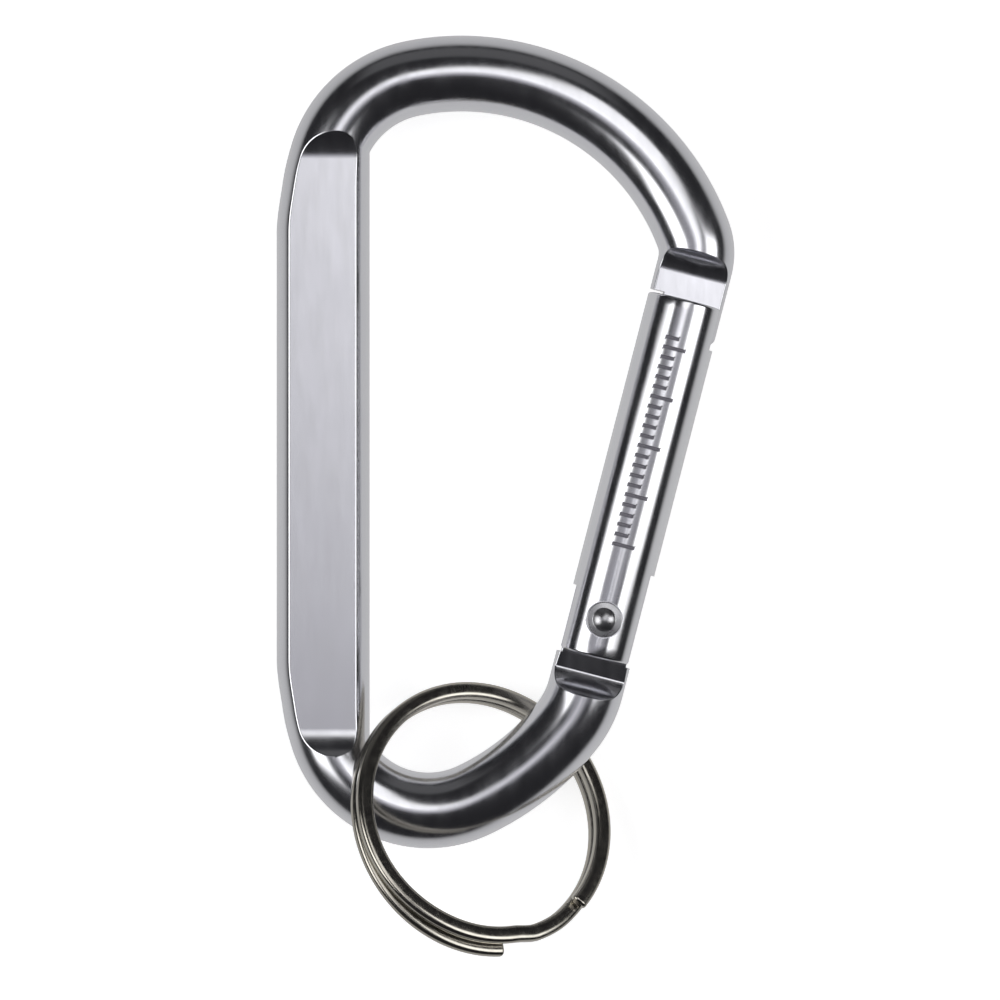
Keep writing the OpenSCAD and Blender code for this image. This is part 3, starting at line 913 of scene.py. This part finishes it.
def metal(name, color, dark, rough, rough_spread, grain, stretch, bump=0.02):
    """Polished metal: a slightly uneven tone and gloss, and fine drawing lines along stretch."""
    mat, tree, shader = new_material(name)
    nodes, links = tree.nodes, tree.links
    shader.inputs["Metallic"].default_value = 1.0
    place = nodes.new("ShaderNodeTexCoord")
    mapping = nodes.new("ShaderNodeMapping")
    mapping.inputs["Scale"].default_value = stretch
    links.new(place.outputs["Object"], mapping.inputs["Vector"])
    lines = nodes.new("ShaderNodeTexNoise")
    lines.inputs["Scale"].default_value = grain
    lines.inputs["Detail"].default_value = 4.0
    links.new(mapping.outputs["Vector"], lines.inputs["Vector"])
    clouds = nodes.new("ShaderNodeTexNoise")
    clouds.inputs["Scale"].default_value = CLOUD_SCALE
    clouds.inputs["Detail"].default_value = 3.0
    links.new(place.outputs["Object"], clouds.inputs["Vector"])
    tone = nodes.new("ShaderNodeMix")
    tone.data_type = "RGBA"
    tone.inputs[6].default_value = (*color, 1)
    tone.inputs[7].default_value = (*dark, 1)
    links.new(clouds.outputs["Fac"], tone.inputs[0])
    links.new(tone.outputs[2], shader.inputs["Base Color"])
    gloss = nodes.new("ShaderNodeMapRange")
    gloss.inputs["From Min"].default_value = 0.3
    gloss.inputs["From Max"].default_value = 0.7
    gloss.inputs["To Min"].default_value = rough - rough_spread
    gloss.inputs["To Max"].default_value = rough + rough_spread
    links.new(lines.outputs["Fac"], gloss.inputs["Value"])
    links.new(gloss.outputs["Result"], shader.inputs["Roughness"])
    relief = nodes.new("ShaderNodeBump")
    relief.inputs["Strength"].default_value = bump
    relief.inputs["Distance"].default_value = RELIEF_DEPTH
    links.new(lines.outputs["Fac"], relief.inputs["Height"])
    links.new(relief.outputs["Normal"], shader.inputs["Normal"])
    return mat


def add_etching(mat):
    """Greys and frosts a metal where the attribute "etched" is set."""
    nodes, links = mat.node_tree.nodes, mat.node_tree.links
    shader = nodes["Principled BSDF"]
    mark = nodes.new("ShaderNodeAttribute")
    mark.attribute_name = "etched"
    frosted = nodes.new("ShaderNodeMix")
    frosted.data_type = "RGBA"
    frosted.inputs[7].default_value = (*ETCHED_COLOR, 1)
    links.new(mark.outputs["Fac"], frosted.inputs[0])
    links.new(shader.inputs["Base Color"].links[0].from_socket, frosted.inputs[6])
    links.new(frosted.outputs[2], shader.inputs["Base Color"])
    rougher = nodes.new("ShaderNodeMath")
    rougher.operation = "MULTIPLY_ADD"
    rougher.inputs[1].default_value = ETCHED_ROUGHER
    links.new(mark.outputs["Fac"], rougher.inputs[0])
    links.new(shader.inputs["Roughness"].links[0].from_socket, rougher.inputs[2])
    links.new(rougher.outputs[0], shader.inputs["Roughness"])


def give(obj, mat):
    obj.data.materials.clear()
    obj.data.materials.append(mat)


rod_metal = metal("rod_polished", (0.80, 0.80, 0.83), (0.74, 0.74, 0.78), 0.19, 0.03, 900, (1, 0.2, 1))
gate_metal = metal("gate_polished", (0.83, 0.83, 0.85), (0.77, 0.77, 0.81), 0.16, 0.03, 900, (1, 0.2, 1))
add_etching(gate_metal)
rivet_metal = metal("rivet_set", (0.62, 0.62, 0.63), (0.52, 0.52, 0.54), 0.3, 0.05, 1500, (1, 1, 1), 0.05)
ring_metal = metal("ring_nickel", (0.60, 0.57, 0.51), (0.44, 0.42, 0.37), 0.2, 0.05, 1400, (1, 1, 1), 0.04)
spring_metal = metal("spring_wire", (0.45, 0.44, 0.43), (0.33, 0.32, 0.31), 0.3, 0.06, 1800, (1, 1, 1), 0.05)
plunger_metal = metal(
    "plunger_turned", (0.58, 0.58, 0.59), (0.46, 0.46, 0.47), 0.3, 0.06, 1600, (1, 4, 1), 0.05
)

# ---------------------------------------------------------------- pieces

rod = build_frame()
give(rod, rod_metal)
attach(rod, "frame")
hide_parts("frame")

sleeve = build_gate()
give(sleeve, gate_metal)
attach(sleeve, "gate")
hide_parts("gate")

pin = build_rivet()
give(pin, rivet_metal)
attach(pin, "gate")
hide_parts("hinge_rivet")

coil = build_spring()
give(coil, spring_metal)
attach(coil, "gate")
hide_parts("gate_spring")
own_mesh(coil)

ring = build_ring()
give(ring, ring_metal)
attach(ring, "key_ring")
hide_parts("split_ring")

give(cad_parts["spring_plunger"], plunger_metal)

# ---------------------------------------------------------------- camera, floor and light

CAMERA_AT = (-0.00055, -0.00054)
CAMERA_UP = 0.65
CAMERA_SEES = 0.0989  # Width of the picture where it crosses the rod's middle plane.
FLOOR_HALF = 3.0
FLOOR_Z = -0.0003
FLOOR_GLOW = 0.75
MIRRORED_Z = -0.0002
MIRRORED_GLOW = 0.58
MIRRORED_FAR_GLOW = 0.4 * MIRRORED_GLOW
BACKDROP_R = 3.5


def add_camera():
    data = bpy.data.cameras.new("camera")
    data.sensor_width = 36.0
    data.lens = data.sensor_width * CAMERA_UP / CAMERA_SEES
    data.clip_end = 20
    cam = bpy.data.objects.new("camera", data)
    cam.location = (*CAMERA_AT, ORIGIN[2] * MM + CAMERA_UP)
    bpy.context.scene.collection.objects.link(cam)
    bpy.context.scene.camera = cam


def card(name, size, location, strength, color=(1, 1, 1), soft=(0.3, 0.3), turn=None):
    """A lamp panel that fades out towards its edges over the share soft of its half width and height.

    It faces the part, or hangs level with its sides turned by so many degrees.
    """
    mesh = bpy.data.meshes.new(name)
    w, h = size[0] / 2, size[1] / 2
    mesh.from_pydata([(-w, -h, 0), (w, -h, 0), (w, h, 0), (-w, h, 0)], [], [(0, 1, 2, 3)])
    obj = bpy.data.objects.new(name, mesh)
    bpy.context.scene.collection.objects.link(obj)
    obj.location = location
    if turn is None:
        obj.rotation_mode = "QUATERNION"
        obj.rotation_quaternion = (-Vector(location)).to_track_quat("-Z", "Y")
    else:
        obj.rotation_euler = (0, 0, math.radians(turn))
    mat = bpy.data.materials.new(name)
    mat.use_nodes = True
    nodes, links = mat.node_tree.nodes, mat.node_tree.links
    nodes.clear()
    out = nodes.new("ShaderNodeOutputMaterial")
    glow = nodes.new("ShaderNodeEmission")
    glow.inputs["Color"].default_value = (*color, 1)
    place = nodes.new("ShaderNodeTexCoord")
    split = nodes.new("ShaderNodeSeparateXYZ")
    links.new(place.outputs["Object"], split.inputs[0])
    both = nodes.new("ShaderNodeMath")
    both.operation = "MULTIPLY"
    for k, (half, share) in enumerate(((w, soft[0]), (h, soft[1]))):
        from_middle = nodes.new("ShaderNodeMath")
        from_middle.operation = "ABSOLUTE"
        links.new(split.outputs[k], from_middle.inputs[0])
        ramp = nodes.new("ShaderNodeMapRange")
        ramp.interpolation_type = "SMOOTHSTEP"
        ramp.inputs["From Min"].default_value = half * (1 - share)
        ramp.inputs["From Max"].default_value = half
        ramp.inputs["To Min"].default_value = strength if k == 0 else 1.0
        ramp.inputs["To Max"].default_value = 0.0
        links.new(from_middle.outputs[0], ramp.inputs["Value"])
        links.new(ramp.outputs["Result"], both.inputs[k])
    links.new(both.outputs[0], glow.inputs["Strength"])
    clear = nodes.new("ShaderNodeBsdfTransparent")
    add = nodes.new("ShaderNodeAddShader")
    links.new(glow.outputs[0], add.inputs[0])
    links.new(clear.outputs[0], add.inputs[1])
    links.new(add.outputs[0], out.inputs["Surface"])
    obj.data.materials.append(mat)
    obj.visible_camera = False
    obj.visible_shadow = False
    return obj


def floor_plane(name, z):
    h = FLOOR_HALF
    mesh = bpy.data.meshes.new(name)
    mesh.from_pydata([(-h, -h, z), (h, -h, z), (h, h, z), (-h, h, z)], [], [(0, 1, 2, 3)])
    obj = bpy.data.objects.new(name, mesh)
    bpy.context.scene.collection.objects.link(obj)
    return obj


def add_floor():
    """The white floor that the camera sees."""
    floor = floor_plane("floor", FLOOR_Z)
    mat, tree, shader = new_material("floor_white")
    shader.inputs["Base Color"].default_value = (0.82, 0.82, 0.82, 1)
    shader.inputs["Roughness"].default_value = 0.9
    shader.inputs["Specular IOR Level"].default_value = 0.0
    shader.inputs["Emission Color"].default_value = (1, 1, 1, 1)
    shader.inputs["Emission Strength"].default_value = FLOOR_GLOW
    floor.data.materials.append(mat)
    floor.visible_glossy = False


def add_mirrored_floor():
    """A greyer floor that only the metal mirrors, darker away from the part."""
    floor = floor_plane("floor_mirrored", MIRRORED_Z)
    mat, tree, shader = new_material("floor_grey")
    tree.nodes.remove(shader)
    glow = tree.nodes.new("ShaderNodeEmission")
    place = tree.nodes.new("ShaderNodeTexCoord")
    away = tree.nodes.new("ShaderNodeVectorMath")
    away.operation = "LENGTH"
    ramp = tree.nodes.new("ShaderNodeMapRange")
    ramp.inputs["From Min"].default_value = 0.04
    ramp.inputs["From Max"].default_value = 0.16
    ramp.inputs["To Min"].default_value = MIRRORED_GLOW
    ramp.inputs["To Max"].default_value = MIRRORED_FAR_GLOW
    tree.links.new(place.outputs["Object"], away.inputs[0])
    tree.links.new(away.outputs["Value"], ramp.inputs["Value"])
    tree.links.new(ramp.outputs["Result"], glow.inputs["Strength"])
    tree.links.new(glow.outputs[0], tree.nodes["Material Output"].inputs["Surface"])
    floor.data.materials.append(mat)
    floor.visible_camera = False
    floor.visible_diffuse = False
    floor.visible_shadow = False


def add_backdrop():
    """Pale surroundings for the camera alone: what the metal mirrors is the world and the cards."""
    bpy.ops.mesh.primitive_uv_sphere_add(segments=48, ring_count=24, radius=BACKDROP_R)
    obj = bpy.context.object
    obj.name = "backdrop"
    mat, tree, shader = new_material("backdrop_pale")
    shader.inputs["Base Color"].default_value = (0, 0, 0, 1)
    shader.inputs["Specular IOR Level"].default_value = 0.0
    shader.inputs["Emission Color"].default_value = (1, 1, 1, 1)
    shader.inputs["Emission Strength"].default_value = 0.93
    obj.data.materials.append(mat)
    obj.visible_glossy = False
    obj.visible_diffuse = False
    obj.visible_shadow = False
    obj.visible_transmission = False


def add_world():
    world = bpy.data.worlds.new("world")
    world.use_nodes = True
    bg = world.node_tree.nodes["Background"]
    bg.inputs["Color"].default_value = (0.9, 0.9, 1.0, 1)
    bg.inputs["Strength"].default_value = 0.02
    bpy.context.scene.world = world


add_camera()
add_world()
add_floor()
add_mirrored_floor()
add_backdrop()
bpy.context.scene.view_settings.view_transform = "Standard"
# Broad panels high over the part for its flats and crowns, and two low ones for the edges of the rod.
card("overhead", (0.88, 1.56), (0.48, 0.67, 2.0), 1.3, (1.0, 1.0, 1.0), (0.4, 0.15), turn=-41)
card("over_spine", (0.18, 0.34), (-0.08, 0.06, 2.01), 0.52, (0.98, 0.98, 1.0), (0.35, 0.4), turn=0)
card("over_nose", (0.16, 0.14), (0.10, 0.11, 2.02), 0.6, (1.0, 1.0, 1.0), (0.5, 0.5), turn=0)
card("overhead_band", (2.2, 0.64), (0.0, 0.0, 2.03), 0.36, (0.94, 0.93, 1.0), (0.15, 0.4), turn=0)
card("left_light", (0.50, 0.44), (-0.40, -0.05, 0.43), 2.2, soft=(0.32, 0.4))
card("right_light", (0.34, 0.42), (0.42, 0.0, 0.40), 2.2, soft=(0.4, 0.4))
card("far_wall", (0.9, 0.45), (0.0, 0.60, 0.26), 0.08, soft=(0.4, 0.4))
